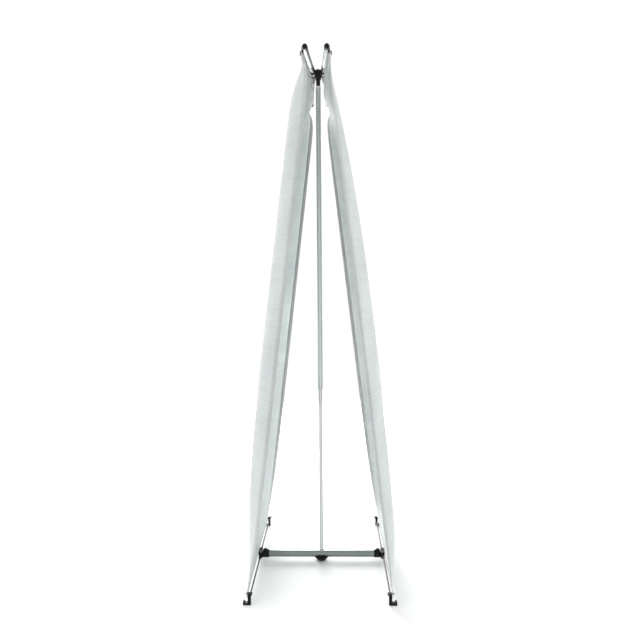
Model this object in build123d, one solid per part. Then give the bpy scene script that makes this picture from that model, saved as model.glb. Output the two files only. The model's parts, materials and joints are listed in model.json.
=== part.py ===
"""Double-sided banner stand: a telescoping mast on a crossbar carries two leaning banners.

Millimetres. +Z is up, the origin is on the floor under the mast, X runs from one banner
to the other along the crossbar, and Y runs along the width of the banners.
"""
import math
import os
from typing import NamedTuple

from build123d import *

# ---- overall sizes -----------------------------------------------------------------
CORNER_Y = 295.0        # half the distance between front and back banner corners
FOOT_X = 211.0          # spreader rods and feet, from the mast's centre plane
TIP_X = 31.0            # ends of the upper arms, from the mast's centre plane
HINGE_Z = 1646.0        # height of the arm hinges on the hub
TIP_Z = HINGE_Z - 22.5  # height of the ends of the upper arms
JOINT_Z = 600.0         # lower end of the upper mast tube
LAP = 120.0             # how far the lower mast tube reaches into the upper one

# ---- crossbar and foot -------------------------------------------------------------
BAR_Z = 22.0
BAR_R = 11.5
BAR_WALL = 1.5
INSERT_LENGTH = 40.0
FOOT_TOP_R = 23.0
FOOT_BASE_R = 11.0
FOOT_SOLE = 3.0         # height of the foot's flared sole
FOOT_FLARE = 4.0
FOOT_RIM = 4.0
FOOT_TOP_Z = 15.0
SCREW_R = 4.0
SCREW_HEAD_R = 7.0
SCREW_HEAD = 5.0
SCREW_INSET = 1.0

# ---- mast --------------------------------------------------------------------------
LOWER_R = 6.0
UPPER_R = 8.0
TUBE_WALL = 1.2
FERRULE_R = 7.3
FERRULE_TOP = 6.0       # height of the ferrule above the top of the crossbar
SEAT = 1.5              # height of the mast's seat above the top of the crossbar
PLUG_LENGTH = 30.0
SLEEVE_FLANGE = 1.2
SLEEVE_LENGTH = 15.0
EXPANDER_STEM = 20.0
EXPANDER_HEAD = 14.0
EXPANDER_ROOT = 2.0     # solid part of the expander's head below its slit
EXPANDER_SCREW_R = 2.5

# ---- hub ---------------------------------------------------------------------------
HUB_R = 9.6
HUB_WAIST_R = 13.5
HUB_NECK_R = 6.9
HUB_TOP_Z = HINGE_Z + 6
HUB_CONE_Z = HINGE_Z - 11
HUB_NECK_Z = HINGE_Z - 27   # where the neck starts to flare
POLE_TOP_Z = HINGE_Z - 44
SPIGOT_LENGTH = 22.0    # how far the hub's spigot reaches into the upper tube
RECESS = 3.0            # depth of the recess for the hub screw's head
DOME_HEIGHT = 6.0
DOME_RIM = 1.5
DOME_R = 9.2
HUB_SCREW_R = 2.5
WING_HEIGHT = 18.0
WING_Y = 23.0
WING_ROUND = 5.0
CHEEK = 4.0
HINGE_X = 17.0
HINGE_Y = 16.0
HINGE_PIN_R = 2.0
KNUCKLE = 8.0           # thickness of an arm's knuckle
KNUCKLE_R = 6.0
KNUCKLE_PLAY = 1.0      # between a knuckle's rim and the hub behind it

# ---- upper arms --------------------------------------------------------------------
ARM_R = 6.7
ARM_WALL = 1.2
SOCKET_R = 7.6
SOCKET_START = 14.0
SOCKET_END = 62.0
SOCKET_ROUND = 0.6
NECK_OVERLAP = 2.0      # how far the knuckle's neck runs into the socket
ARM_START = 22.0
CAP_R = 7.4
CAP_LENGTH = 22.0
CAP_END = 4.0           # closed end of the cap beyond the tube
CAP_ROUND = 3.4
HOOK_WIDTH = 5.0        # the hook is a flat plate of this width
HOOK_ROOT = 5.8         # outer face of the hook's root, from the arm's axis
HOOK_REACH = 11.0       # inner face of the hook's tongue, from the arm's axis
HOOK_TONGUE = 2.2
HOOK_LEAN = 1.6         # the tongue leans out with the banner
HOOK_DROP = 10.0
PEG_HALF = 2.0          # half the height of the plate where it passes through the eyelet

# ---- end joints and spreader rods ---------------------------------------------------
SLEEVE_IN = FOOT_X - 30     # inner end of the end joint's sleeve
SLEEVE_OUT = FOOT_X - 10
SLEEVE_R = 13.0
SLEEVE_ROUND = 2.0
BAR_REACH = FOOT_X - 15     # half length of the crossbar tube
YOKE_HALF = 6.0
YOKE_CHEEK = 2.8
YOKE_GAP = 7.0          # half the height between the yoke's cheeks
YOKE_CORE_Y = 10.0
PIVOT_Y = 17.0
PIVOT_R = 2.0
PIVOT_HEAD_R = 4.0
PIVOT_HEAD = 2.0
KNOB_X = FOOT_X - 17
KNOB_R = 6.8
KNOB_HEIGHT = 4.5
KNOB_SINK = 1.5         # how far the knob's seat dips into the round of the sleeve
KNOB_TIP = 3.0          # how far the knob's point enters the crossbar tube
ROUND_SHARE = 0.8       # share of a knob's or rivet's height that is rounded over
ROD_R = 2.5
ROD_STAGGER = 3.1       # each rod's height above or below the crossbar's axis
EYE_R = 5.2
STUB_R = 3.5
STUB_END = 22.0
ROD_START = 8.0

# ---- foot hooks --------------------------------------------------------------------
LEG_HALF = 4.5
LEG_Y_IN = CORNER_Y - 6
LEG_Y_OUT = CORNER_Y + 6
LEG_TOP = 35.0
TOE_OUT = 19.0
TOE_HEIGHT = 7.0
TOE_LIP = 11.5
LIP_THICK = 5.5
CATCH_IN = 9.0
CATCH_HEIGHT = 4.5
FOOT_ROUND = 1.8
FOOT_SOCKET_R = 4.4
FOOT_SOCKET_IN = CORNER_Y - 18
FOOT_PEG_R = 2.0
FOOT_PEG_OUT = 11.5
FOOT_PEG_DROOP = 1.0    # the peg droops outwards, so that the banner's pull seats the eyelet

# ---- banners -----------------------------------------------------------------------
BANNER_HALF = CORNER_Y + 5  # half the flat width of a banner
BANNER_TOP = TIP_Z + 0.5
BANNER_BOTTOM = 20.0
BANNER_GAP = 1.0        # between a hook's cap and the inner face of a banner
FOOT_GAP = 3.5          # between a foot's leg and the inner face of a banner's lower edge
BANNER_T = 0.8
CORNER_FLAT = 20.0      # the corners stay flat this far up, where the eyelets hold them
BOW_SQUARE = 4.0        # how square the bow is across the banner: flat middle, bent sides
CURL_SQUARE = 4.7
CURL_LOW = 10.0         # how fast the side edges curl in above the lower corners
CURL_HIGH = 60.0        # and below the upper corners
CURL_GROWTH = 0.6      # how much more the edges curl at the top than at the bottom
TOP_DIP = 26.0          # how far the middle of the top edge turns in, under the arms
TOP_SAG = 20.0          # how far the middle of the top edge hangs below its corners
TOP_FADE = 30.0         # how fast the dip and sag fade below the top edge
EYELET_EDGE = 12.0
EYELET_R = 4.4
BARREL_R = 5.0
FLANGE_R = 8.0
FLANGE_T = 0.5

# ---- fits --------------------------------------------------------------------------
SNUG = 0.05             # radial clearance of a pressed or turning fit
PLAY = 0.3              # clearance beside a part that swings
PEG_PLAY = 0.5          # between a peg and the eyelet that pulls on it

SIDES = {"left": -1, "right": 1}
ENDS = {"front": -1, "back": 1}


class Hang(NamedTuple):
    """How one banner hangs between its four corners."""
    bow: float          # outward bow of the middle
    bow_low: float      # how fast the bow grows above the lower edge
    bow_high: float     # and below the top edge
    thinning: float     # share of the bow that is lost on the way up
    curl_front: float   # inward curl of the front side edge
    curl_back: float


HANGS = {
    -1: Hang(bow=57.0, bow_low=8.0, bow_high=60.0, thinning=0.42, curl_front=16.5, curl_back=15.0),
    1: Hang(bow=38.5, bow_low=30.0, bow_high=3.3, thinning=-0.7, curl_front=5.0, curl_back=15.0),
}

PEG_SEAT = math.sqrt(EYELET_R ** 2 - (HOOK_WIDTH / 2) ** 2) - PEG_HALF - PEG_PLAY
FOOT_PEG_SEAT = EYELET_R - FOOT_PEG_R - FOOT_PEG_DROOP - PEG_PLAY
BAR_BORE = BAR_R - BAR_WALL
BAR_TOP = BAR_Z + BAR_R
SEAT_Z = BAR_TOP + SEAT
LOWER_TOP = JOINT_Z + LAP
LOWER_BORE = LOWER_R - TUBE_WALL
UPPER_BORE = UPPER_R - TUBE_WALL


def rod_between(start, end, radius):
    """A round bar from one point to another."""
    start, end = Vector(*start), Vector(*end)
    run = end - start
    plane = Plane(origin=start, z_dir=run.normalized())
    return plane * Cylinder(radius, run.length, align=(Align.CENTER, Align.CENTER, Align.MIN))


def upright(x, y, low, high, radius):
    """A vertical cylinder between two heights."""
    return rod_between((x, y, low), (x, y, high), radius)


def block(x0, x1, y0, y1, z0, z1):
    """A box from its limits, whichever of each pair is the lower."""
    size = [abs(x1 - x0), abs(y1 - y0), abs(z1 - z0)]
    middle = ((x0 + x1) / 2, (y0 + y1) / 2, (z0 + z1) / 2)
    return Pos(*middle) * Box(*size)


def turned(outline):
    """A solid of revolution about Z from (radius, height) points."""
    return revolve(Plane.XZ * make_face(Polyline(*outline, close=True)), Axis.Z)


def bar_body():
    """The space that the crossbar tube fills."""
    return rod_between((-BAR_REACH, 0, BAR_Z), (BAR_REACH, 0, BAR_Z), BAR_R)


# ---- crossbar, foot and mast ---------------------------------------------------------
def crossbar_tube():
    tube = rod_between((-BAR_REACH, 0, BAR_Z), (BAR_REACH, 0, BAR_Z), BAR_R)
    tube -= rod_between((-BAR_REACH, 0, BAR_Z), (BAR_REACH, 0, BAR_Z), BAR_BORE)
    tube -= upright(0, 0, 0, 2 * BAR_Z, SCREW_R + SNUG)
    for sign in SIDES.values():
        tube -= upright(sign * KNOB_X, 0, BAR_Z, BAR_TOP + 1, PIVOT_R + SNUG)
    return tube


def crossbar_insert():
    half = INSERT_LENGTH / 2
    core = rod_between((-half, 0, BAR_Z), (half, 0, BAR_Z), BAR_BORE - SNUG)
    return core - upright(0, 0, 0, 2 * BAR_Z, SCREW_R + SNUG)


def centre_foot():
    outline = [(0, 0), (FOOT_BASE_R, 0), (FOOT_BASE_R + FOOT_FLARE, FOOT_SOLE),
               (FOOT_TOP_R, FOOT_TOP_Z - FOOT_RIM), (FOOT_TOP_R, FOOT_TOP_Z), (0, FOOT_TOP_Z)]
    foot = turned(outline) - bar_body()
    foot -= upright(0, 0, -1, FOOT_TOP_Z, SCREW_R + SNUG)
    return foot - upright(0, 0, -1, SCREW_INSET + SCREW_HEAD, SCREW_HEAD_R + SNUG)


def centre_screw():
    head = upright(0, 0, SCREW_INSET, SCREW_INSET + SCREW_HEAD, SCREW_HEAD_R)
    head -= upright(0, 0, 0, SCREW_INSET + SCREW_HEAD / 2, SCREW_HEAD_R / 2)
    return head + upright(0, 0, SCREW_INSET + SCREW_HEAD / 2, SEAT_Z + PLUG_LENGTH, SCREW_R)


def base_ferrule():
    ring = upright(0, 0, BAR_Z, BAR_TOP + FERRULE_TOP, FERRULE_R) - bar_body()
    ring -= upright(0, 0, BAR_Z, SEAT_Z, SCREW_R + SNUG)
    return ring - upright(0, 0, SEAT_Z, BAR_TOP + FERRULE_TOP, LOWER_R + SNUG)


def lower_pole():
    return upright(0, 0, SEAT_Z, LOWER_TOP, LOWER_R) - upright(0, 0, SEAT_Z, LOWER_TOP, LOWER_BORE)


def lower_pole_plug():
    plug = upright(0, 0, SEAT_Z, SEAT_Z + PLUG_LENGTH, LOWER_BORE - SNUG)
    return plug - upright(0, 0, SEAT_Z, SEAT_Z + PLUG_LENGTH, SCREW_R + SNUG)


def expander_plug():
    """Plastic plug in the top of the lower tube; its split head grips the upper tube."""
    top = LOWER_TOP + EXPANDER_HEAD
    plug = upright(0, 0, LOWER_TOP - EXPANDER_STEM, LOWER_TOP, LOWER_BORE - SNUG)
    plug += upright(0, 0, LOWER_TOP, top, UPPER_BORE - SNUG)
    plug -= upright(0, 0, LOWER_TOP - EXPANDER_STEM, top, EXPANDER_SCREW_R + SNUG)
    slit = EXPANDER_SCREW_R / 2
    return plug - block(-slit, slit, 0, UPPER_R, LOWER_TOP + EXPANDER_ROOT, top)


def expander_screw():
    top = LOWER_TOP + EXPANDER_HEAD
    shank = upright(0, 0, LOWER_TOP - EXPANDER_STEM, top, EXPANDER_SCREW_R)
    return shank + upright(0, 0, top, top + EXPANDER_SCREW_R, 2 * EXPANDER_SCREW_R)


def upper_pole():
    return upright(0, 0, JOINT_Z, POLE_TOP_Z, UPPER_R) - upright(0, 0, JOINT_Z, POLE_TOP_Z, UPPER_BORE)


def slide_sleeve():
    """Plastic lip and lining in the mouth of the upper tube, running on the lower tube."""
    sleeve = upright(0, 0, JOINT_Z - SLEEVE_FLANGE, JOINT_Z, UPPER_R)
    sleeve += upright(0, 0, JOINT_Z, JOINT_Z + SLEEVE_LENGTH, UPPER_BORE - SNUG)
    return sleeve - upright(0, 0, JOINT_Z - SLEEVE_FLANGE, JOINT_Z + SLEEVE_LENGTH, LOWER_R + SNUG)


def upper_pole_plug():
    """Threaded plug in the upper tube, under the hub's spigot."""
    top = POLE_TOP_Z - SPIGOT_LENGTH
    plug = upright(0, 0, top - PLUG_LENGTH, top, UPPER_BORE - SNUG)
    return plug - upright(0, 0, top - PLUG_LENGTH, top, HUB_SCREW_R + SNUG)


# ---- hub -----------------------------------------------------------------------------
def hub_body():
    """Hub with a spigot in the upper tube, a flared neck, and a slotted wing on each side."""
    spigot_z, spigot_r = POLE_TOP_Z - SPIGOT_LENGTH, UPPER_BORE - SNUG
    outline = [(0, spigot_z), (spigot_r, spigot_z), (spigot_r, POLE_TOP_Z), (HUB_NECK_R, POLE_TOP_Z),
               (HUB_NECK_R, HUB_NECK_Z), (HUB_WAIST_R, HUB_CONE_Z), (HUB_R, HUB_CONE_Z + DOME_RIM),
               (HUB_R, HUB_TOP_Z), (0, HUB_TOP_Z)]
    hub = turned(outline)
    low = HINGE_Z - WING_HEIGHT / 2
    gap = KNUCKLE / 2 + PLAY
    inner = HINGE_Y - KNUCKLE_R - KNUCKLE_PLAY
    for side in SIDES.values():
        near, far = side * (HINGE_X - gap - CHEEK), side * (HINGE_X + gap + CHEEK)
        wing = block(0, far, -WING_Y, WING_Y, low, HUB_TOP_Z)
        wing = fillet(wing.edges().filter_by(Axis.X), WING_ROUND)
        for end in ENDS.values():
            wing -= block(0, near, end * HUB_R, end * WING_Y, low, HUB_TOP_Z)
            wing -= block(side * (HINGE_X - gap), side * (HINGE_X + gap),
                          end * inner, end * WING_Y, low, HUB_TOP_Z)
            wing -= rod_between((near, end * HINGE_Y, HINGE_Z), (far, end * HINGE_Y, HINGE_Z), HINGE_PIN_R)
        hub += wing
    hub -= upright(0, 0, spigot_z, HUB_TOP_Z, HUB_SCREW_R + SNUG)
    return hub - upright(0, 0, HUB_TOP_Z - RECESS, HUB_TOP_Z, 2 * HUB_SCREW_R)


def hub_cap():
    """Low dome over the hub's screw."""
    rise = DOME_HEIGHT - DOME_RIM
    crown_r = (DOME_R ** 2 + rise ** 2) / (2 * rise)
    crown = Pos(0, 0, HUB_TOP_Z + DOME_HEIGHT - crown_r) * Sphere(crown_r)
    return upright(0, 0, HUB_TOP_Z, HUB_TOP_Z + DOME_HEIGHT, DOME_R) & crown


def hub_screw():
    seat = HUB_TOP_Z - RECESS
    shank = upright(0, 0, POLE_TOP_Z - SPIGOT_LENGTH - PLUG_LENGTH, seat, HUB_SCREW_R)
    return shank + upright(0, 0, seat, HUB_TOP_Z - SNUG, 2 * HUB_SCREW_R - SNUG)


def hinge_pins():
    half = KNUCKLE / 2 + PLAY + CHEEK
    pins = []
    for side in SIDES.values():
        for end in ENDS.values():
            y = end * HINGE_Y
            pins.append(rod_between((side * (HINGE_X - half), y, HINGE_Z),
                                    (side * (HINGE_X + half), y, HINGE_Z), HINGE_PIN_R))
    return Compound(children=pins)


# ---- upper arms ----------------------------------------------------------------------
def arm_point(side, end, distance):
    """A point on an arm's axis, a distance out from its hinge."""
    hinge = Vector(side * HINGE_X, end * HINGE_Y, HINGE_Z)
    tip = Vector(side * TIP_X, end * CORNER_Y, TIP_Z)
    point = hinge + (tip - hinge).normalized() * distance
    return (point.X, point.Y, point.Z)


def arm_length():
    return math.dist((HINGE_X, HINGE_Y, HINGE_Z), (TIP_X, CORNER_Y, TIP_Z))


def arm_socket(side, end):
    """Black knuckle and socket between the hub and an arm's tube."""
    x, y, z = arm_point(side, end, 0)
    eye = rod_between((x - KNUCKLE / 2, y, z), (x + KNUCKLE / 2, y, z), KNUCKLE_R)
    start = Vector(x, y, z)
    out = (Vector(*arm_point(side, end, 1)) - start).normalized()
    flat = Plane(origin=start, z_dir=out, x_dir=(1, 0, 0))
    neck_length = SOCKET_START + NECK_OVERLAP
    neck_size = (KNUCKLE - 2 * PLAY, 2 * KNUCKLE_R - 2 * PLAY, neck_length)
    neck = flat * Pos(0, 0, neck_length / 2) * Box(*neck_size)
    socket = rod_between(arm_point(side, end, SOCKET_START), arm_point(side, end, SOCKET_END), SOCKET_R)
    socket = chamfer(socket.edges(), SOCKET_ROUND)
    piece = eye + neck + socket
    piece -= rod_between(arm_point(side, end, ARM_START), arm_point(side, end, SOCKET_END), ARM_R + SNUG)
    return piece - rod_between((x - KNUCKLE, y, z), (x + KNUCKLE, y, z), HINGE_PIN_R + SNUG)


def arm_tube(side, end):
    inner, outer = arm_point(side, end, ARM_START), arm_point(side, end, arm_length())
    return rod_between(inner, outer, ARM_R) - rod_between(inner, outer, ARM_R - ARM_WALL)


def hook_plate(side, y, z):
    """Flat hook: a root under the cap, a bar through the eyelet, and a tongue outside the banner."""
    tip = HOOK_REACH + HOOK_LEAN
    outline = [(CAP_R / 2, CAP_R), (HOOK_ROOT, CAP_R), (HOOK_ROOT, PEG_HALF),
               (HOOK_REACH + HOOK_TONGUE, PEG_HALF), (tip + HOOK_TONGUE, -HOOK_DROP),
               (tip, -HOOK_DROP), (HOOK_REACH, -PEG_HALF), (HOOK_ROOT, -PEG_HALF),
               (HOOK_ROOT, -HOOK_DROP / 2), (CAP_R / 2, -HOOK_DROP / 2)]
    plane = Plane(origin=(side * TIP_X, y, z), x_dir=(side, 0, 0), z_dir=(0, -side, 0))
    face = plane * make_face(Polyline(*outline, close=True))
    return extrude(face, HOOK_WIDTH / 2, both=True)


def hook_cap(side, end):
    """Cap on an arm's end, with a hook that the banner's eyelet hangs on."""
    reach = arm_length()
    closed = arm_point(side, end, reach + CAP_END)
    cap = rod_between(arm_point(side, end, reach + CAP_END - CAP_LENGTH), closed, CAP_R)
    cap = fillet(cap.edges().sort_by(Axis.Y)[-1 if end > 0 else 0], CAP_ROUND)
    eyelet = eyelet_centre(side, end, top=True)
    cap += hook_plate(side, eyelet.Y, eyelet.Z + PEG_SEAT)
    return cap - rod_between(arm_point(side, end, 0), arm_point(side, end, reach), ARM_R + SNUG)


# ---- end joints and spreader rods ------------------------------------------------------
def end_joint(side):
    """Sleeve on the crossbar's end with a yoke for the two spreader rods."""
    sleeve = rod_between((side * SLEEVE_IN, 0, BAR_Z), (side * SLEEVE_OUT, 0, BAR_Z), SLEEVE_R)
    sleeve = fillet(sleeve.edges(), SLEEVE_ROUND)
    height = YOKE_GAP + YOKE_CHEEK
    inner, outer = side * (SLEEVE_OUT - 2 * SLEEVE_ROUND), side * (FOOT_X + YOKE_HALF)
    core = block(inner, outer, -YOKE_CORE_Y, YOKE_CORE_Y, BAR_Z - height, BAR_Z + height)
    joint = sleeve + core
    for up in (-1, 1):
        z0, z1 = BAR_Z + up * YOKE_GAP, BAR_Z + up * height
        joint += block(side * (FOOT_X - YOKE_HALF), outer, -PIVOT_Y, PIVOT_Y, z0, z1)
        for end in ENDS.values():
            y = end * PIVOT_Y
            joint += rod_between((side * FOOT_X, y, z0), (side * FOOT_X, y, z1), YOKE_HALF)
    for end in ENDS.values():
        joint -= upright(side * FOOT_X, end * PIVOT_Y, 0, 2 * BAR_Z, PIVOT_R)
    joint -= rod_between((side * SLEEVE_IN, 0, BAR_Z), (side * BAR_REACH, 0, BAR_Z), BAR_R)
    return joint - upright(side * KNOB_X, 0, BAR_Z, 2 * BAR_Z, PIVOT_R + SNUG)


def pivot_pins(side):
    low, high = BAR_Z - YOKE_GAP - YOKE_CHEEK, BAR_Z + YOKE_GAP + YOKE_CHEEK
    pins = []
    for end in ENDS.values():
        x, y = side * FOOT_X, end * PIVOT_Y
        head = upright(x, y, high, high + PIVOT_HEAD, PIVOT_HEAD_R)
        head = fillet(head.edges().sort_by(Axis.Z)[-1], PIVOT_HEAD * ROUND_SHARE)
        pins.append(upright(x, y, low, high, PIVOT_R) + head)
    return Compound(children=pins)


def locking_knobs():
    """Domed screws through the end joints' sleeves into the crossbar tube."""
    knobs = []
    crown = BAR_Z + SLEEVE_R
    for side in SIDES.values():
        x = side * KNOB_X
        head = upright(x, 0, crown - KNOB_SINK, crown + KNOB_HEIGHT, KNOB_R)
        head = fillet(head.edges().sort_by(Axis.Z)[-1], KNOB_HEIGHT * ROUND_SHARE)
        head -= rod_between((side * SLEEVE_IN, 0, BAR_Z), (side * FOOT_X, 0, BAR_Z), SLEEVE_R)
        head -= block(side * (SLEEVE_OUT - 2 * SLEEVE_ROUND), side * FOOT_X, -YOKE_CORE_Y, YOKE_CORE_Y,
                      BAR_Z, BAR_Z + YOKE_GAP + YOKE_CHEEK)
        knobs.append(head + upright(x, 0, BAR_Z + BAR_BORE - KNOB_TIP, crown + KNOB_SINK, PIVOT_R))
    return Compound(children=knobs)


def rod_z(side, end):
    """Rods that fold over each other are at different heights; both end joints are alike."""
    return BAR_Z - side * end * ROD_STAGGER


def rod_eye(side, end):
    x, y, z = side * FOOT_X, end * PIVOT_Y, rod_z(side, end)
    eye = upright(x, y, BAR_Z - YOKE_GAP + PLAY, BAR_Z + YOKE_GAP - PLAY, EYE_R)
    eye += rod_between((x, y, z), (x, y + end * STUB_END, z), STUB_R)
    eye -= rod_between((x, y + end * ROD_START, z), (x, y + end * STUB_END, z), ROD_R + SNUG)
    return eye - upright(x, y, 0, 2 * BAR_Z, PIVOT_R + SNUG)


def spreader_rod(side, end):
    z = rod_z(side, end)
    return rod_between((side * FOOT_X, end * (PIVOT_Y + ROD_START), z),
                       (side * FOOT_X, end * CORNER_Y, z), ROD_R)


def foot_hook(side, end):
    """Moulded foot on a rod's end: a leg, a toe with a lip, a catch, and a peg for the eyelet."""
    x, z = side * FOOT_X, rod_z(side, end)
    y0, y1 = end * LEG_Y_IN, end * LEG_Y_OUT
    foot = block(x - LEG_HALF, x + LEG_HALF, y0, y1, 0, LEG_TOP)
    foot += block(x, x + side * TOE_OUT, y0, y1, 0, TOE_HEIGHT)
    foot += block(x + side * (TOE_OUT - LIP_THICK), x + side * TOE_OUT, y0, y1, 0, TOE_LIP)
    foot += block(x, x - side * CATCH_IN, y0, y1, LEG_TOP - CATCH_HEIGHT, LEG_TOP)
    foot = fillet(foot.edges().filter_by(Axis.Y), FOOT_ROUND)
    foot += rod_between((x, end * FOOT_SOCKET_IN, z), (x, y1, z), FOOT_SOCKET_R)
    eyelet = eyelet_centre(side, end, top=False)
    peg_y, peg_z = eyelet.Y, eyelet.Z - FOOT_PEG_SEAT
    peg_end = (x + side * FOOT_PEG_OUT, peg_y, peg_z - FOOT_PEG_DROOP)
    foot += rod_between((x, peg_y, peg_z), peg_end, FOOT_PEG_R)
    return foot - rod_between((x, end * FOOT_SOCKET_IN, z), (x, end * CORNER_Y, z), ROD_R + SNUG)


# ---- banners -------------------------------------------------------------------------
def banner_point(side, across, up):
    """A point of a banner's inner face: across from -1 to 1, up from 0 to 1."""
    hang = HANGS[side]
    top = TIP_X + CAP_R + BANNER_GAP
    bottom = FOOT_X + LEG_HALF + FOOT_GAP
    held = CORNER_FLAT / (BANNER_TOP - BANNER_BOTTOM)
    free = min(max((up - held) / (1 - 2 * held), 0.0), 1.0)
    full = (1 - (1 - free) ** hang.bow_low) * (1 - free ** hang.bow_high) * (1 - hang.thinning * free)
    curled = (1 - (1 - free) ** CURL_LOW) * (1 - free ** CURL_HIGH) * (1 + CURL_GROWTH * free)
    middle = 1 - abs(across) ** BOW_SQUARE
    near_top = max(up, 0.0) ** TOP_FADE * middle
    curl = hang.curl_front if across < 0 else hang.curl_back
    x = bottom + (top - bottom) * up + hang.bow * full * middle - TOP_DIP * near_top * middle
    x -= curl * curled * abs(across) ** CURL_SQUARE
    rise = hang.bow + (hang.curl_front + hang.curl_back) / 2
    narrowing = 8 * rise ** 2 / (3 * (2 * BANNER_HALF) ** 2)
    y = across * BANNER_HALF * (1 - narrowing * full)
    z = BANNER_BOTTOM + (BANNER_TOP - BANNER_BOTTOM) * up - TOP_SAG * near_top
    return Vector(side * x, y, z)


def banner_outward(side, across, up):
    """The direction that a banner's outer face looks in."""
    step = 0.002
    along = banner_point(side, across + step, up) - banner_point(side, across - step, up)
    upward = banner_point(side, across, up + step) - banner_point(side, across, up - step)
    normal = along.cross(upward).normalized()
    return normal if normal.X * side > 0 else normal * -1


def eyelet_seats(side):
    """Centre on the inner face and outward direction of a banner's four eyelets."""
    across = 1 - EYELET_EDGE / BANNER_HALF
    up = EYELET_EDGE / (BANNER_TOP - BANNER_BOTTOM)
    seats = []
    for end in ENDS.values():
        for height in (up, 1 - up):
            place = (side, end * across, height)
            seats.append((banner_point(*place), banner_outward(*place)))
    return seats


def eyelet_centre(side, end, top):
    """Centre of one eyelet, on the banner's inner face."""
    up = EYELET_EDGE / (BANNER_TOP - BANNER_BOTTOM)
    return banner_point(side, end * (1 - EYELET_EDGE / BANNER_HALF), 1 - up if top else up)


def banner(side):
    """A stretched sheet of cloth through points of the hanging shape."""
    rows, columns = 16, 8
    grid = []
    for row in range(rows + 1):
        up = (1 - math.cos(math.pi * row / rows)) / 2
        grid.append([banner_point(side, 2 * column / columns - 1, up) for column in range(columns + 1)])
    face = Face.make_surface_from_array_of_points(grid, tol=1.0, min_deg=3, max_deg=5)
    outward = face.normal_at(face.center()).X * side
    sheet = Solid.thicken(face, BANNER_T if outward > 0 else -BANNER_T)
    for centre, out in eyelet_seats(side):
        sheet -= rod_between(centre - out * BARREL_R, centre + out * BARREL_R, BARREL_R + SNUG)
    return sheet


def eyelets(side):
    """Metal eyelets: a barrel through the sheet with a flange on each face of it."""
    rings = []
    for centre, out in eyelet_seats(side):
        inner, outer = -SNUG, BANNER_T + SNUG
        start, finish = centre + out * (inner - FLANGE_T), centre + out * (outer + FLANGE_T)
        ring = rod_between(start, finish, BARREL_R)
        ring += rod_between(start, centre + out * inner, FLANGE_R)
        ring += rod_between(centre + out * outer, finish, FLANGE_R)
        rings.append(ring - rod_between(start, finish, EYELET_R))
    return Compound(children=rings)


def all_pieces():
    pieces = {
        "crossbar_tube": crossbar_tube(), "crossbar_insert": crossbar_insert(),
        "centre_foot": centre_foot(), "centre_screw": centre_screw(),
        "base_ferrule": base_ferrule(), "lower_pole": lower_pole(),
        "lower_pole_plug": lower_pole_plug(), "expander_plug": expander_plug(),
        "expander_screw": expander_screw(), "upper_pole": upper_pole(),
        "slide_sleeve": slide_sleeve(), "upper_pole_plug": upper_pole_plug(),
        "hub_body": hub_body(), "hub_cap": hub_cap(), "hub_screw": hub_screw(),
        "hinge_pins": hinge_pins(), "locking_knobs": locking_knobs(),
    }
    for name, side in SIDES.items():
        pieces[f"end_joint_{name}"] = end_joint(side)
        pieces[f"pivot_pins_{name}"] = pivot_pins(side)
        pieces[f"banner_{name}"] = banner(side)
        pieces[f"eyelets_{name}"] = eyelets(side)
        for end_name, end in ENDS.items():
            corner = f"{end_name}_{name}"
            pieces[f"arm_socket_{corner}"] = arm_socket(side, end)
            pieces[f"arm_tube_{corner}"] = arm_tube(side, end)
            pieces[f"hook_cap_{corner}"] = hook_cap(side, end)
            pieces[f"rod_eye_{corner}"] = rod_eye(side, end)
            pieces[f"spreader_rod_{corner}"] = spreader_rod(side, end)
            pieces[f"foot_hook_{corner}"] = foot_hook(side, end)
    return pieces


os.makedirs("parts", exist_ok=True)
for node, shape in all_pieces().items():
    export_step(shape, f"parts/{node}.step")
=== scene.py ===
"""Double-sided banner stand: finishes for the frame, and the two stretched fabric banners.

Metres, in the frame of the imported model: +Z up, the floor under the mast at the origin,
X from banner to banner along the crossbar, Y along the width of the banners.
"""
import json
import math
from typing import NamedTuple

import bmesh
import bpy
from mathutils import Matrix, Vector


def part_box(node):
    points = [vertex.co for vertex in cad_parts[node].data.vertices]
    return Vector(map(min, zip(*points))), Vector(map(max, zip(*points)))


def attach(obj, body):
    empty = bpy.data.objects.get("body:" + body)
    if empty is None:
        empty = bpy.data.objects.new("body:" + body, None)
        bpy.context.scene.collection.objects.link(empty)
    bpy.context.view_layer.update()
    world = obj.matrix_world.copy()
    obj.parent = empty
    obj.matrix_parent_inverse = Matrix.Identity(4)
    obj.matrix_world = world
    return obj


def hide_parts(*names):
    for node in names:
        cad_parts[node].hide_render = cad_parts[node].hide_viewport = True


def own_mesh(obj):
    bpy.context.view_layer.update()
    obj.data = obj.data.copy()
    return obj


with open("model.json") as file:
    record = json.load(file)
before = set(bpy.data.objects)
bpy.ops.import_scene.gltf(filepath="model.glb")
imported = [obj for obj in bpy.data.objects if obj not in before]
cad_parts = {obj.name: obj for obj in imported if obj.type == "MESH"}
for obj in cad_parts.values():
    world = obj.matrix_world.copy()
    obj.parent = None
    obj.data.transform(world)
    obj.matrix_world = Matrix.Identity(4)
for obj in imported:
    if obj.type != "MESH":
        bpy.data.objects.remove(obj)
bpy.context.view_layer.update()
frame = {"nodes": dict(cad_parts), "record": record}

MM = 0.001
SIDES = {"left": -1, "right": 1}
ENDS = {"front": -1, "back": 1}

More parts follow.
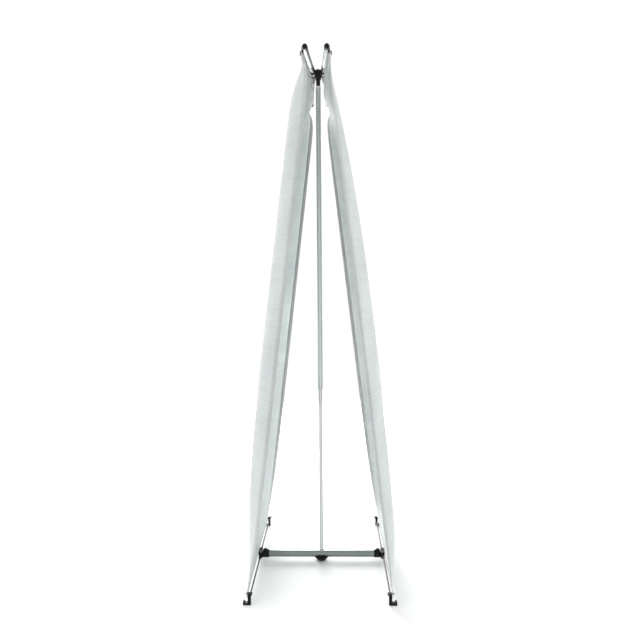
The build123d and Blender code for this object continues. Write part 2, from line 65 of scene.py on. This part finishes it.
# ---- sizes of the cloth ---------------------------------------------------------------
FLAT_WIDTH = 0.600          # a banner as it is cut
FLAT_LENGTH = 1.605
CLOTH = 0.6 * MM
COLUMNS, ROWS = 48, 150     # faces across and up a banner
HEM_WIDTH = 14 * MM
HEM_THICK = 0.4 * MM
HEM_INSET = -HEM_THICK - 0.1 * MM     # the hem strips lie just inside the cloth
STITCH_INSET = 11 * MM      # seam line from the edge of the cloth
STITCH_PITCH = 4.2 * MM
STITCH_LENGTH = 2.8 * MM
STITCH_THICK = 0.5 * MM
EYELET_EDGE = 12 * MM
EYELET_HOLE = 4.4 * MM
EYELET_RIM = 8 * MM
CORNER_FLAT = 28 * MM       # the corners stay flat this far up, where the eyelets hold them
BOW_SQUARE = 4.0            # how square the bow is across the banner: flat middle, bent sides
CURL_SQUARE = 4.7
CURL_LOW, CURL_HIGH = 10.0, 60.0   # how fast the side edges curl in beyond the corners
CURL_GROWTH = 0.6
TOP_DIP = 21 * MM           # how far the middle of the top edge turns in, under the arms
DIP_LEAN = 0.25             # the dip is deeper towards the back
TOP_SAG = 20 * MM           # how far the middle of the top edge hangs below its corners
DIP_SQUARE, SAG_SQUARE = 1.4, 0.8   # the sag starts nearer the corners than the dip
TOP_FADE = 28.0             # how fast the dip and the sag fade below the top edge
PULL_DEPTH = 1.1 * MM       # tension folds that run out from each corner
PULL_REACH = 150 * MM
PULL_FOLDS = 11


class Hang(NamedTuple):
    """How one banner hangs between its four corners."""
    bow: float          # outward bow of the middle
    bow_low: float      # how fast the bow grows above the lower edge
    bow_high: float     # and below the top edge
    thinning: float     # share of the bow that is lost on the way up
    curl_front: float   # inward curl of the front side edge
    curl_back: float


HANGS = {
    "left": Hang(57 * MM, 8.0, 60.0, 0.42, 16.5 * MM, 15 * MM),
    "right": Hang(38.5 * MM, 30.0, 3.3, -0.7, 5 * MM, 15 * MM),
}

sheet_low, sheet_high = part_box("banner_right")
arm_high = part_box("arm_tube_front_right")[1]
rod_low, rod_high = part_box("spreader_rod_front_right")
TOP_Z = sheet_high.z
BOTTOM_Z = sheet_low.z
HALF = FLAT_WIDTH / 2
TOP_X = arm_high.x + 1.7 * MM                       # inner face of a banner at its upper corners
BOTTOM_X = (rod_low.x + rod_high.x) / 2 + 8 * MM    # and at its lower corners


# ---- small helpers ----------------------------------------------------------------------
def linear(hex_colour, alpha=1.0):
    """An sRGB hex value as the linear colour that shaders take."""
    channels = [int(hex_colour[i:i + 2], 16) / 255 for i in (0, 2, 4)]
    values = [c / 12.92 if c <= 0.04045 else ((c + 0.055) / 1.055) ** 2.4 for c in channels]
    return (*values, alpha)


def add(tree, kind, links=None, **settings):
    """Adds a shader node, sets its values and links its inputs."""
    node = tree.nodes.new(kind)
    for name, value in settings.items():
        if hasattr(node, name):
            setattr(node, name, value)
        else:
            node.inputs[name.replace("_", " ")].default_value = value
    for name, socket in (links or {}).items():
        tree.links.new(socket, node.inputs[name])
    return node


def ramp(tree, factor, dark, light, low=0.3, high=0.7):
    """Two colours across a pattern's value."""
    node = add(tree, "ShaderNodeValToRGB", {"Fac": factor})
    first, second = node.color_ramp.elements
    first.position, first.color = low, linear(dark)
    second.position, second.color = high, linear(light)
    return node.outputs["Color"]


def spread(tree, factor, low, high):
    """A pattern's value as a roughness between two limits."""
    node = add(tree, "ShaderNodeMapRange", {"Value": factor})
    node.inputs["To Min"].default_value = low
    node.inputs["To Max"].default_value = high
    return node.outputs["Result"]


def finish_material(name, **values):
    """A new material: its node tree, its shader, and its Object coordinates."""
    material = bpy.data.materials.new(name)
    material.use_nodes = True
    tree = material.node_tree
    shader = tree.nodes["Principled BSDF"]
    for key, value in values.items():
        shader.inputs[key.replace("_", " ")].default_value = value
    coords = add(tree, "ShaderNodeTexCoord")
    return material, tree, shader, coords


def bump(tree, shader, height, strength, depth):
    node = add(tree, "ShaderNodeBump", {"Height": height}, Strength=strength, Distance=depth)
    tree.links.new(node.outputs["Normal"], shader.inputs["Normal"])


# ---- materials --------------------------------------------------------------------------
def banner_cloth():
    """Woven polyester banner cloth, matt white, with slack and tight weft threads."""
    material, tree, shader, coords = finish_material("banner_cloth_woven", Roughness=0.85,
                                                     IOR=1.46, Sheen_Weight=0.05, Sheen_Roughness=0.5,
                                                     Subsurface_Weight=1.0, Subsurface_Scale=2 * MM,
                                                     Subsurface_Radius=(1.0, 1.0, 1.0))
    thread = 1.6 * MM       # drawn coarser than the 0.3 mm thread, which would not show
    uv = coords.outputs["UV"]
    size = add(tree, "ShaderNodeMapping", {"Vector": uv})
    size.inputs["Scale"].default_value = (FLAT_WIDTH / thread, FLAT_LENGTH / thread, 1)
    weft = add(tree, "ShaderNodeTexWave", {"Vector": size.outputs["Vector"]}, wave_type="BANDS",
               bands_direction="Y", Scale=0.5, Distortion=0.6, Detail=1.0)
    warp = add(tree, "ShaderNodeTexWave", {"Vector": size.outputs["Vector"]}, wave_type="BANDS",
               bands_direction="X", Scale=0.5, Distortion=0.4, Detail=1.0)
    weave = add(tree, "ShaderNodeMath", {0: weft.outputs["Fac"], 1: warp.outputs["Fac"]},
                operation="MULTIPLY")
    streak_size = add(tree, "ShaderNodeMapping", {"Vector": uv})
    streak_size.inputs["Scale"].default_value = (FLAT_WIDTH / 0.16, FLAT_LENGTH / 0.006, 1)
    streaks = add(tree, "ShaderNodeTexNoise", {"Vector": streak_size.outputs["Vector"]},
                  Scale=1.0, Detail=3.0, Roughness=0.6)
    cloud = add(tree, "ShaderNodeTexNoise", {"Vector": coords.outputs["Object"]}, Scale=6.0, Detail=2.0)
    both = add(tree, "ShaderNodeMath", {0: streaks.outputs["Fac"], 1: cloud.outputs["Fac"]},
               operation="ADD")
    half = add(tree, "ShaderNodeMath", {0: both.outputs["Value"]}, operation="MULTIPLY")
    half.inputs[1].default_value = 0.5
    colour = ramp(tree, half.outputs["Value"], "B0B6B5", "C0C6C4", 0.35, 0.65)
    tree.links.new(colour, shader.inputs["Base Color"])
    bump(tree, shader, weave.outputs["Value"], 0.35, 0.25 * MM)
    return material


def hem_cloth():
    """The same cloth folded double at the hem, a little greyer where the fold shades it."""
    material, tree, shader, coords = finish_material("hem_cloth_folded", Roughness=0.85,
                                                     IOR=1.46, Subsurface_Weight=1.0,
                                                     Subsurface_Scale=2 * MM,
                                                     Subsurface_Radius=(1.0, 1.0, 1.0))
    threads = add(tree, "ShaderNodeTexNoise", {"Vector": coords.outputs["Object"]},
                  Scale=1 / (2.5 * MM), Detail=3.0)
    colour = ramp(tree, threads.outputs["Fac"], "C6CAC9", "D2D6D4")
    tree.links.new(colour, shader.inputs["Base Color"])
    bump(tree, shader, threads.outputs["Fac"], 0.3, 0.2 * MM)
    return material


def sewing_thread():
    """Bonded polyester thread, off-white with a slight sheen."""
    material, tree, shader, coords = finish_material("sewing_thread_polyester", Roughness=0.6,
                                                     IOR=1.5, Sheen_Weight=0.3)
    twist = add(tree, "ShaderNodeTexNoise", {"Vector": coords.outputs["Object"]}, Scale=1 / (0.8 * MM))
    tree.links.new(ramp(tree, twist.outputs["Fac"], "A4ABAA", "BFC5C3"), shader.inputs["Base Color"])
    return material


def anodised_tube(name, dark, light, stretch, roughness):
    """Drawn and anodised aluminium: satin, with fine draw lines along the tube."""
    material, tree, shader, coords = finish_material(name, Metallic=1.0, Roughness=roughness)
    size = add(tree, "ShaderNodeMapping", {"Vector": coords.outputs["Object"]})
    size.inputs["Scale"].default_value = stretch
    lines = add(tree, "ShaderNodeTexNoise", {"Vector": size.outputs["Vector"]}, Scale=1.0, Detail=4.0,
                Roughness=0.65)
    tree.links.new(ramp(tree, lines.outputs["Fac"], dark, light), shader.inputs["Base Color"])
    tree.links.new(spread(tree, lines.outputs["Fac"], roughness - 0.08, roughness + 0.1),
                   shader.inputs["Roughness"])
    bump(tree, shader, lines.outputs["Fac"], 0.12, 0.05 * MM)
    return material


def moulded_plastic(name, dark, light, roughness=0.52):
    """Injection-moulded nylon or ABS with a fine spark-eroded grain and handling wear."""
    material, tree, shader, coords = finish_material(name, IOR=1.53, Roughness=roughness,
                                                     Specular_IOR_Level=0.2)
    grain = add(tree, "ShaderNodeTexNoise", {"Vector": coords.outputs["Object"]},
                Scale=1 / (0.7 * MM), Detail=2.0)
    rubbed = add(tree, "ShaderNodeTexNoise", {"Vector": coords.outputs["Object"]},
                 Scale=1 / (12 * MM), Detail=4.0)
    tree.links.new(ramp(tree, rubbed.outputs["Fac"], dark, light, 0.35, 0.75), shader.inputs["Base Color"])
    tree.links.new(spread(tree, rubbed.outputs["Fac"], roughness - 0.1, roughness + 0.12),
                   shader.inputs["Roughness"])
    bump(tree, shader, grain.outputs["Fac"], 0.25, 0.08 * MM)
    return material


def powder_coated_rod():
    """Black powder coat on spring steel rod: slight orange peel, semi-gloss."""
    material, tree, shader, coords = finish_material("powder_coat_black", IOR=1.5, Roughness=0.42,
                                                     Specular_IOR_Level=0.25)
    peel = add(tree, "ShaderNodeTexNoise", {"Vector": coords.outputs["Object"]},
               Scale=1 / (1.5 * MM), Detail=1.0)
    tree.links.new(ramp(tree, peel.outputs["Fac"], "0B0D12", "14171E"), shader.inputs["Base Color"])
    tree.links.new(spread(tree, peel.outputs["Fac"], 0.36, 0.5), shader.inputs["Roughness"])
    bump(tree, shader, peel.outputs["Fac"], 0.2, 0.06 * MM)
    return material


def zinc_plated_steel():
    """Bright zinc on turned steel, with slight cloudiness."""
    material, tree, shader, coords = finish_material("steel_zinc_plated", Metallic=1.0, Roughness=0.28)
    cloud = add(tree, "ShaderNodeTexNoise", {"Vector": coords.outputs["Object"]},
                Scale=1 / (4 * MM), Detail=3.0)
    tree.links.new(ramp(tree, cloud.outputs["Fac"], "A9ACAE", "C9CCCD"), shader.inputs["Base Color"])
    tree.links.new(spread(tree, cloud.outputs["Fac"], 0.22, 0.38), shader.inputs["Roughness"])
    return material


ALONG_Z = (1 / (0.5 * MM), 1 / (0.5 * MM), 1 / (60 * MM))
ALONG_X = (1 / (60 * MM), 1 / (0.5 * MM), 1 / (0.5 * MM))
ALONG_Y = (1 / (0.5 * MM), 1 / (60 * MM), 1 / (0.5 * MM))
CLOTH_FINISH = banner_cloth()
HEM_FINISH = hem_cloth()
THREAD_FINISH = sewing_thread()
MAST_FINISH = anodised_tube("aluminium_anodised_silver", "CCCFCF", "E4E6E5", ALONG_Z, 0.38)
BAR_FINISH = anodised_tube("aluminium_anodised_grey", "7C8480", "969D99", ALONG_X, 0.42)
# Painted shade: the arms are the same grey aluminium as the crossbar, drawn in a darker copy for the shade
# on their undersides.
ARM_PAINTED_SHADE_FINISH = anodised_tube("aluminium_anodised_grey_arm_painted_shade", "666D6A", "808784", ALONG_Y, 0.45)
PLASTIC_FINISH = moulded_plastic("nylon_moulded_black", "060607", "0E0E10")
SLEEVE_FINISH = moulded_plastic("acetal_moulded_grey", "7E8281", "969A99", 0.45)
ROD_FINISH = powder_coated_rod()
STEEL_FINISH = zinc_plated_steel()

FINISH_OF_SLOT = {
    "silver_aluminium": MAST_FINISH, "grey_aluminium": BAR_FINISH, "black_plastic": PLASTIC_FINISH,
    "grey_plastic": SLEEVE_FINISH, "black_steel": ROD_FINISH, "steel": STEEL_FINISH,
    "white_fabric": CLOTH_FINISH,
}


def finish_cad_nodes():
    """Each piece of the frame takes the finish of its slot; the arm tubes instead take a darker copy of
    the grey aluminium, painted shade for their shaded undersides.
    """
    for part in frame["record"]["subparts"]:
        node = frame["nodes"][part["node"]]
        finish = FINISH_OF_SLOT[part["material_slot"]]
        # The arm tubes take the darker copy of the grey aluminium, which is painted shade.
        if part["node"].startswith("arm_tube"):
            finish = ARM_PAINTED_SHADE_FINISH
        node.data.materials.clear()
        node.data.materials.append(finish)


# ---- banners ------------------------------------------------------------------------------
def corner_pulls(across, up):
    """Shallow tension folds that fan out from a banner's corners and die away."""
    depth = 0.0
    for end in ENDS.values():
        for height in (0.0, 1.0):
            aside = (1 - end * across) * HALF
            away = abs(up - height) * FLAT_LENGTH
            radius = math.hypot(aside, away)
            fade = math.exp(-radius / PULL_REACH) * radius / (radius + EYELET_RIM * 4)
            depth += fade * math.sin(PULL_FOLDS * math.atan2(away, aside + MM))
    return PULL_DEPTH * depth


def sheet_point(name, across, up, outset=0.0):
    """A point of a banner: across its width from -1 to 1, up from 0 to 1, outset off the inner face."""
    side, hang = SIDES[name], HANGS[name]
    held = CORNER_FLAT / (TOP_Z - BOTTOM_Z)
    free = min(max((up - held) / (1 - 2 * held), 0.0), 1.0)
    full = (1 - (1 - free) ** hang.bow_low) * (1 - free ** hang.bow_high) * (1 - hang.thinning * free)
    curled = (1 - (1 - free) ** CURL_LOW) * (1 - free ** CURL_HIGH) * (1 + CURL_GROWTH * free)
    middle = max(1 - abs(across) ** BOW_SQUARE, 0.0)
    near_top = max(up, 0.0) ** TOP_FADE
    curl = hang.curl_front if across < 0 else hang.curl_back
    x = BOTTOM_X + (TOP_X - BOTTOM_X) * up + hang.bow * full * middle
    x -= TOP_DIP * (1 + DIP_LEAN * across) * near_top * middle ** DIP_SQUARE
    x += corner_pulls(across, up) - curl * curled * abs(across) ** CURL_SQUARE
    rise = hang.bow + (hang.curl_front + hang.curl_back) / 2
    narrowing = 8 * rise ** 2 / (3 * FLAT_WIDTH ** 2)
    y = across * HALF * (1 - narrowing * full)
    z = BOTTOM_Z + (TOP_Z - BOTTOM_Z) * up - TOP_SAG * near_top * middle ** SAG_SQUARE
    point = Vector((side * x, y, z))
    if outset:
        point += sheet_outward(name, across, up) * outset
    return point


def sheet_outward(name, across, up):
    """The direction that a banner's outer face looks in."""
    step = 0.002
    along = sheet_point(name, across + step, up) - sheet_point(name, across - step, up)
    upward = sheet_point(name, across, up + step) - sheet_point(name, across, up - step)
    normal = along.cross(upward).normalized()
    return normal if normal.x * SIDES[name] > 0 else -normal


def keep_piece(bm, name, material, body, smooth=True):
    """Makes a finished piece of a bmesh, riding on a body."""
    mesh = bpy.data.meshes.new(name)
    bm.to_mesh(mesh)
    bm.free()
    piece = bpy.data.objects.new(name, mesh)
    bpy.context.scene.collection.objects.link(piece)
    mesh.materials.append(material)
    for face in mesh.polygons:
        face.use_smooth = smooth
    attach(piece, body)
    return piece


def face_outward(bm, name):
    """Turns a sheet's faces to look away from the mast."""
    bm.normal_update()
    total = sum((face.normal.x * face.calc_area() for face in bm.faces), 0.0)
    if total * SIDES[name] < 0:
        bmesh.ops.reverse_faces(bm, faces=bm.faces)


def patch(bm, name, across, up, steps, outset):
    """Adds a stretch of a banner's surface, between limits across and up."""
    made = bmesh.ops.create_grid(bm, x_segments=steps[0], y_segments=steps[1], size=1,
                                 calc_uvs=True)
    for vert in made["verts"]:
        u = across[0] + (across[1] - across[0]) * (vert.co.x + 1) / 2
        v = up[0] + (up[1] - up[0]) * (vert.co.y + 1) / 2
        vert.co = sheet_point(name, u, v, outset)
    return made["verts"]


def thicken(piece, thickness):
    solid = piece.modifiers.new("thickness", "SOLIDIFY")
    solid.thickness = thickness
    solid.offset = 1.0
    return piece


def follow_mast(piece):
    """Gives the piece a mesh of its own."""
    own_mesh(piece)


def make_banner(name):
    bm = bmesh.new()
    bm.loops.layers.uv.new("UVMap")
    patch(bm, name, (-1, 1), (0, 1), (COLUMNS, ROWS), 0.0)
    face_outward(bm, name)
    sheet = thicken(keep_piece(bm, f"banner_cloth_{name}", CLOTH_FINISH, "base"), CLOTH)
    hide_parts(f"banner_{name}")
    return sheet


def make_hem(name):
    """A doubled strip along each edge, on the inner face."""
    wide, high = 2 * HEM_WIDTH / FLAT_WIDTH, HEM_WIDTH / FLAT_LENGTH
    bm = bmesh.new()
    bm.loops.layers.uv.new("UVMap")
    patch(bm, name, (-1, -1 + wide), (0, 1), (3, ROWS), HEM_INSET)
    patch(bm, name, (1 - wide, 1), (0, 1), (3, ROWS), HEM_INSET)
    patch(bm, name, (-1 + wide, 1 - wide), (0, high), (COLUMNS, 3), HEM_INSET)
    patch(bm, name, (-1 + wide, 1 - wide), (1 - high, 1), (COLUMNS, 3), HEM_INSET)
    face_outward(bm, name)
    return thicken(keep_piece(bm, f"hem_{name}", HEM_FINISH, "base"), HEM_THICK)


def make_eyelets(name, body, up):
    """Rolled metal eyelets in one pair of a banner's corners."""
    bm = bmesh.new()
    half_length = (CLOTH + HEM_THICK) / 2 + 0.5 * MM
    half_width = (EYELET_RIM - EYELET_HOLE) / 2
    for end in ENDS.values():
        across = end * (1 - EYELET_EDGE / HALF)
        centre = sheet_point(name, across, up, (CLOTH - HEM_THICK) / 2)
        earlier = set(bm.verts)
        profile = bmesh.ops.create_circle(bm, segments=12, radius=1.0, cap_ends=False)["verts"]
        for vert in profile:
            vert.co = Vector((EYELET_HOLE + half_width * (1 + vert.co.x), 0, half_length * vert.co.y))
        edges = {edge for vert in profile for edge in vert.link_edges}
        bmesh.ops.spin(bm, geom=[*profile, *edges], cent=(0, 0, 0), axis=(0, 0, 1),
                       angle=math.tau, steps=28, use_merge=True)
        turn = Vector((0, 0, 1)).rotation_difference(sheet_outward(name, across, up))
        place = Matrix.Translation(centre) @ turn.to_matrix().to_4x4()
        bmesh.ops.transform(bm, matrix=place, verts=[vert for vert in bm.verts if vert not in earlier])
    bmesh.ops.recalc_face_normals(bm, faces=bm.faces)
    level = "lower" if up < 0.5 else "upper"
    return keep_piece(bm, f"eyelets_{level}_{name}", STEEL_FINISH, body)


def make_stitching(name):
    """Lock stitches along the hem, on both faces of the cloth."""
    inset_across = STITCH_INSET / HALF
    inset_up = STITCH_INSET / FLAT_LENGTH
    bm = bmesh.new()
    runs = []
    for end in (-1, 1):
        across = end * (1 - inset_across)
        runs.append(((across, inset_up), (across, 1 - inset_up), FLAT_LENGTH))
        height = inset_up if end < 0 else 1 - inset_up
        runs.append(((-1 + inset_across, height), (1 - inset_across, height), FLAT_WIDTH))
    for start, finish, length in runs:
        count = int(length / STITCH_PITCH)
        for index in range(1, count):
            share = index / count
            place = [a + (b - a) * share for a, b in zip(start, finish)]
            ahead = [a + (b - a) * (share + 0.3 / count) for a, b in zip(start, finish)]
            out = sheet_outward(name, *place)
            along = (sheet_point(name, *ahead) - sheet_point(name, *place)).normalized()
            across = out.cross(along)
            axes = Matrix((along, across, out)).transposed().to_4x4()
            for outset in (CLOTH, HEM_INSET):
                centre = sheet_point(name, *place) + out * outset
                size = Matrix.Diagonal((STITCH_LENGTH, STITCH_THICK, STITCH_THICK, 1))
                bmesh.ops.create_cube(bm, size=1, matrix=Matrix.Translation(centre) @ axes @ size)
    bmesh.ops.recalc_face_normals(bm, faces=bm.faces)
    return keep_piece(bm, f"stitching_{name}", THREAD_FINISH, "base", smooth=False)


def make_banners():
    corner = EYELET_EDGE / FLAT_LENGTH
    for name in SIDES:
        sheet = make_banner(name)
        hem = make_hem(name)
        stitching = make_stitching(name)
        lower = make_eyelets(name, "base", corner)
        make_eyelets(name, "mast", 1 - corner)
        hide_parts(f"eyelets_{name}")
        for piece in (sheet, hem, stitching):
            follow_mast(piece)


# ---- floor, light and camera ----------------------------------------------------------------
def make_floor():
    bm = bmesh.new()
    bmesh.ops.create_grid(bm, x_segments=1, y_segments=1, size=12)
    mesh = bpy.data.meshes.new("floor")
    bm.to_mesh(mesh)
    bm.free()
    floor = bpy.data.objects.new("floor", mesh)
    bpy.context.scene.collection.objects.link(floor)
    material, tree, shader, coords = finish_material("floor_painted_white", Roughness=0.9)
    speckle = add(tree, "ShaderNodeTexNoise", {"Vector": coords.outputs["Object"]}, Scale=3.0)
    tree.links.new(ramp(tree, speckle.outputs["Fac"], "FAFAFA", "FDFDFD"), shader.inputs["Base Color"])
    mesh.materials.append(material)


def softbox(name, place, target, size, power):
    data = bpy.data.lights.new(name, "AREA")
    data.shape = "RECTANGLE"
    data.size, data.size_y = size
    data.energy = power
    lamp = bpy.data.objects.new(name, data)
    lamp.location = place
    lamp.rotation_euler = (Vector(target) - Vector(place)).to_track_quat("-Z", "Y").to_euler()
    bpy.context.scene.collection.objects.link(lamp)


def make_light():
    world = bpy.data.worlds.new("studio")
    bpy.context.scene.world = world
    world.use_nodes = True
    backdrop = world.node_tree.nodes["Background"]
    backdrop.inputs["Color"].default_value = (1, 1, 1, 1)
    backdrop.inputs["Strength"].default_value = 1.03
    softbox("key_left", (-2.8, -1.2, 2.4), (0, 0, 0.8), (2.0, 2.4), 8)
    softbox("back_left", (-1.8, 2.6, 1.5), (0.1, 0, 0.9), (1.4, 1.8), 8)
    softbox("back_middle", (-0.35, 2.5, 1.1), (0.15, 0, 0.7), (1.2, 1.8), 115)
    bpy.context.scene.view_settings.view_transform = "Standard"


def make_camera():
    """Eye a little to the right of the mast's line and above the middle, looking slightly down."""
    data = bpy.data.cameras.new("camera")
    data.sensor_width = 36.0
    data.lens = 34.5
    camera = bpy.data.objects.new("camera", data)
    yaw, pitch, roll = (math.radians(angle) for angle in (1.16, -3.88, -0.41))
    turn = (Matrix.Rotation(yaw, 4, "Z") @ Matrix.Rotation(math.pi / 2 + pitch, 4, "X")
            @ Matrix.Rotation(roll, 4, "Z"))
    camera.matrix_world = Matrix.Translation((0.0423, -2.0656, 0.9723)) @ turn
    bpy.context.scene.collection.objects.link(camera)
    bpy.context.scene.camera = camera


make_camera()
finish_cad_nodes()
make_banners()
make_floor()
make_light()
